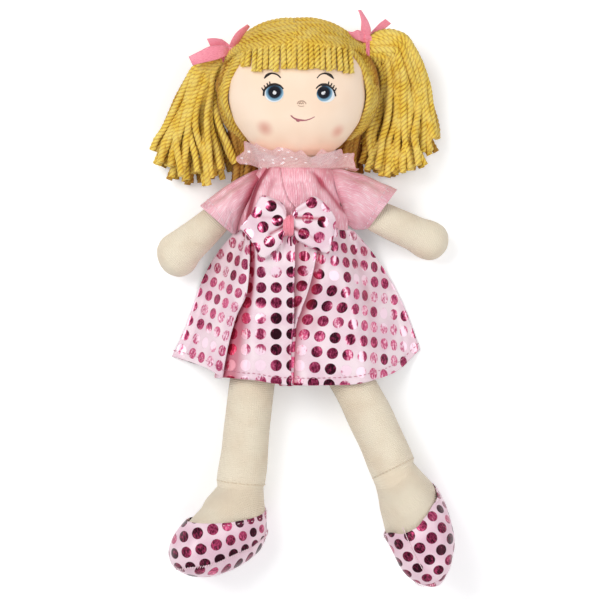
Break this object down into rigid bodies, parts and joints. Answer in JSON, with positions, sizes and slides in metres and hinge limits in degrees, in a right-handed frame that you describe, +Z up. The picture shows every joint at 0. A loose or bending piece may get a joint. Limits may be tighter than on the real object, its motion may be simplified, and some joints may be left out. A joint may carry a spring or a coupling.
{
  "type": "rag doll",
  "caption": "Stuffed cloth rag doll with yarn pigtails, an embroidered face, a dotted satin dress with a bow, and soft sewn shoes; its neck, pigtails, arms, legs and feet flop.",
  "frame": {"origin": "on the flat-pressed back of the dress, in the middle of the chest, where the doll lies", "axes": "+Z up from the surface it lies on, +Y to the top of the head, +X to the right in the front view"},
  "size_m": [0.1996, 0.3724, 0.0665],
  "materials": {
    "skin_knit": "fine ribbed cotton knit, matt",
    "yarn": "plied golden yarn, matt",
    "ribbon": "satin ribbon",
    "bodice_knit": "fine ribbed knit with a metallic sheen",
    "organza": "sheer organza with small pale specks",
    "dotted_satin": "pale satin with foil dots",
    "sole_satin": "pale satin with foil dots"
  },
  "bodies": {
    "torso": {"torso": "skin_knit", "bodice_front": "bodice_knit", "bodice_back": "bodice_knit", "collar_ruffle": "organza", "sleeve_left": "bodice_knit", "sleeve_right": "bodice_knit", "skirt_front": "dotted_satin", "skirt_back": "dotted_satin", "bow_left": "dotted_satin", "bow_right": "dotted_satin", "bow_band": "ribbon"},
    "neck": {"neck": "skin_knit"},
    "head": {"head": "skin_knit", "hair_cap": "yarn", "hair_fringe": "yarn", "ribbon_left": "ribbon", "ribbon_right": "ribbon"},
    "pigtail_left": {"pigtail_left": "yarn"},
    "pigtail_right": {"pigtail_right": "yarn"},
    "shoulder_left": {"shoulder_tab_left": "skin_knit"},
    "shoulder_right": {"shoulder_tab_right": "skin_knit"},
    "arm_left": {"arm_left": "skin_knit"},
    "arm_right": {"arm_right": "skin_knit"},
    "hip_left": {"hip_tab_left": "skin_knit"},
    "hip_right": {"hip_tab_right": "skin_knit"},
    "leg_left": {"leg_left": "skin_knit"},
    "leg_right": {"leg_right": "skin_knit"},
    "foot_left": {"foot_left": "skin_knit", "shoe_left": "dotted_satin", "sole_left": "sole_satin"},
    "foot_right": {"foot_right": "skin_knit", "shoe_right": "dotted_satin", "sole_right": "sole_satin"}
  },
  "joints": [
    {"name": "neck_nod", "type": "hinge", "parent": "torso", "child": "neck", "pos_m": [0.0025, 0.03435, 0.02405], "axis": [1, 0, 0], "range_deg": [-20, 25], "deforming": ["collar_ruffle"]},
    {"name": "neck_turn", "type": "hinge", "parent": "neck", "child": "head", "pos_m": [0.0032, 0.0391, 0.03], "axis": [0, 1, 0], "range_deg": [-40, 40], "deforming": ["collar_ruffle"]},
    {"name": "pigtail_left_swing", "type": "hinge", "parent": "head", "child": "pigtail_left", "pos_m": [-0.05235, 0.09975, 0.03], "axis": [0, 0, -1], "range_deg": [0, 55]},
    {"name": "pigtail_right_swing", "type": "hinge", "parent": "head", "child": "pigtail_right", "pos_m": [0.05774, 0.1051, 0.03], "axis": [0, 0, 1], "range_deg": [0, 30]},
    {"name": "shoulder_left_swing", "type": "hinge", "parent": "torso", "child": "shoulder_left", "pos_m": [-0.03267, 0.011, 0.02155], "axis": [0, 1, 0], "range_deg": [-30, 65], "deforming": ["sleeve_left"]},
    {"name": "shoulder_left_raise", "type": "hinge", "parent": "shoulder_left", "child": "arm_left", "pos_m": [-0.04417, 0.004, 0.02155], "axis": [0, 0, -1], "range_deg": [-15, 22], "deforming": ["sleeve_left"]},
    {"name": "shoulder_right_swing", "type": "hinge", "parent": "torso", "child": "shoulder_right", "pos_m": [0.03502, 0.011, 0.02155], "axis": [0, -1, 0], "range_deg": [-30, 65], "deforming": ["sleeve_right"]},
    {"name": "shoulder_right_raise", "type": "hinge", "parent": "shoulder_right", "child": "arm_right", "pos_m": [0.04652, 0.004, 0.02155], "axis": [0, 0, 1], "range_deg": [-25, 22], "deforming": ["sleeve_right"]},
    {"name": "hip_left_swing", "type": "hinge", "parent": "torso", "child": "hip_left", "pos_m": [-0.02, -0.06285, 0.017], "axis": [-1, 0, 0], "range_deg": [-30, 90], "deforming": ["skirt_front", "skirt_back"]},
    {"name": "hip_left_spread", "type": "hinge", "parent": "hip_left", "child": "leg_left", "pos_m": [-0.0215, -0.08005, 0.017], "axis": [0, 0, -1], "range_deg": [-6, 30], "deforming": ["skirt_front", "skirt_back"]},
    {"name": "hip_right_swing", "type": "hinge", "parent": "torso", "child": "hip_right", "pos_m": [0.02, -0.06285, 0.017], "axis": [-1, 0, 0], "range_deg": [-30, 90], "deforming": ["skirt_front", "skirt_back"]},
    {"name": "hip_right_spread", "type": "hinge", "parent": "hip_right", "child": "leg_right", "pos_m": [0.0235, -0.08005, 0.017], "axis": [0, 0, 1], "range_deg": [-24, 20], "deforming": ["skirt_front", "skirt_back"]},
    {"name": "ankle_left_flex", "type": "hinge", "parent": "leg_left", "child": "foot_left", "pos_m": [-0.03189, -0.1773, 0.01625], "axis": [-0.5262, 0.0627, -0.848], "range_deg": [-18, 18]},
    {"name": "ankle_right_flex", "type": "hinge", "parent": "leg_right", "child": "foot_right", "pos_m": [0.06668, -0.1678, 0.02334], "axis": [-0.8497, -0.4392, -0.2918], "range_deg": [-6, 38]}
  ]
}
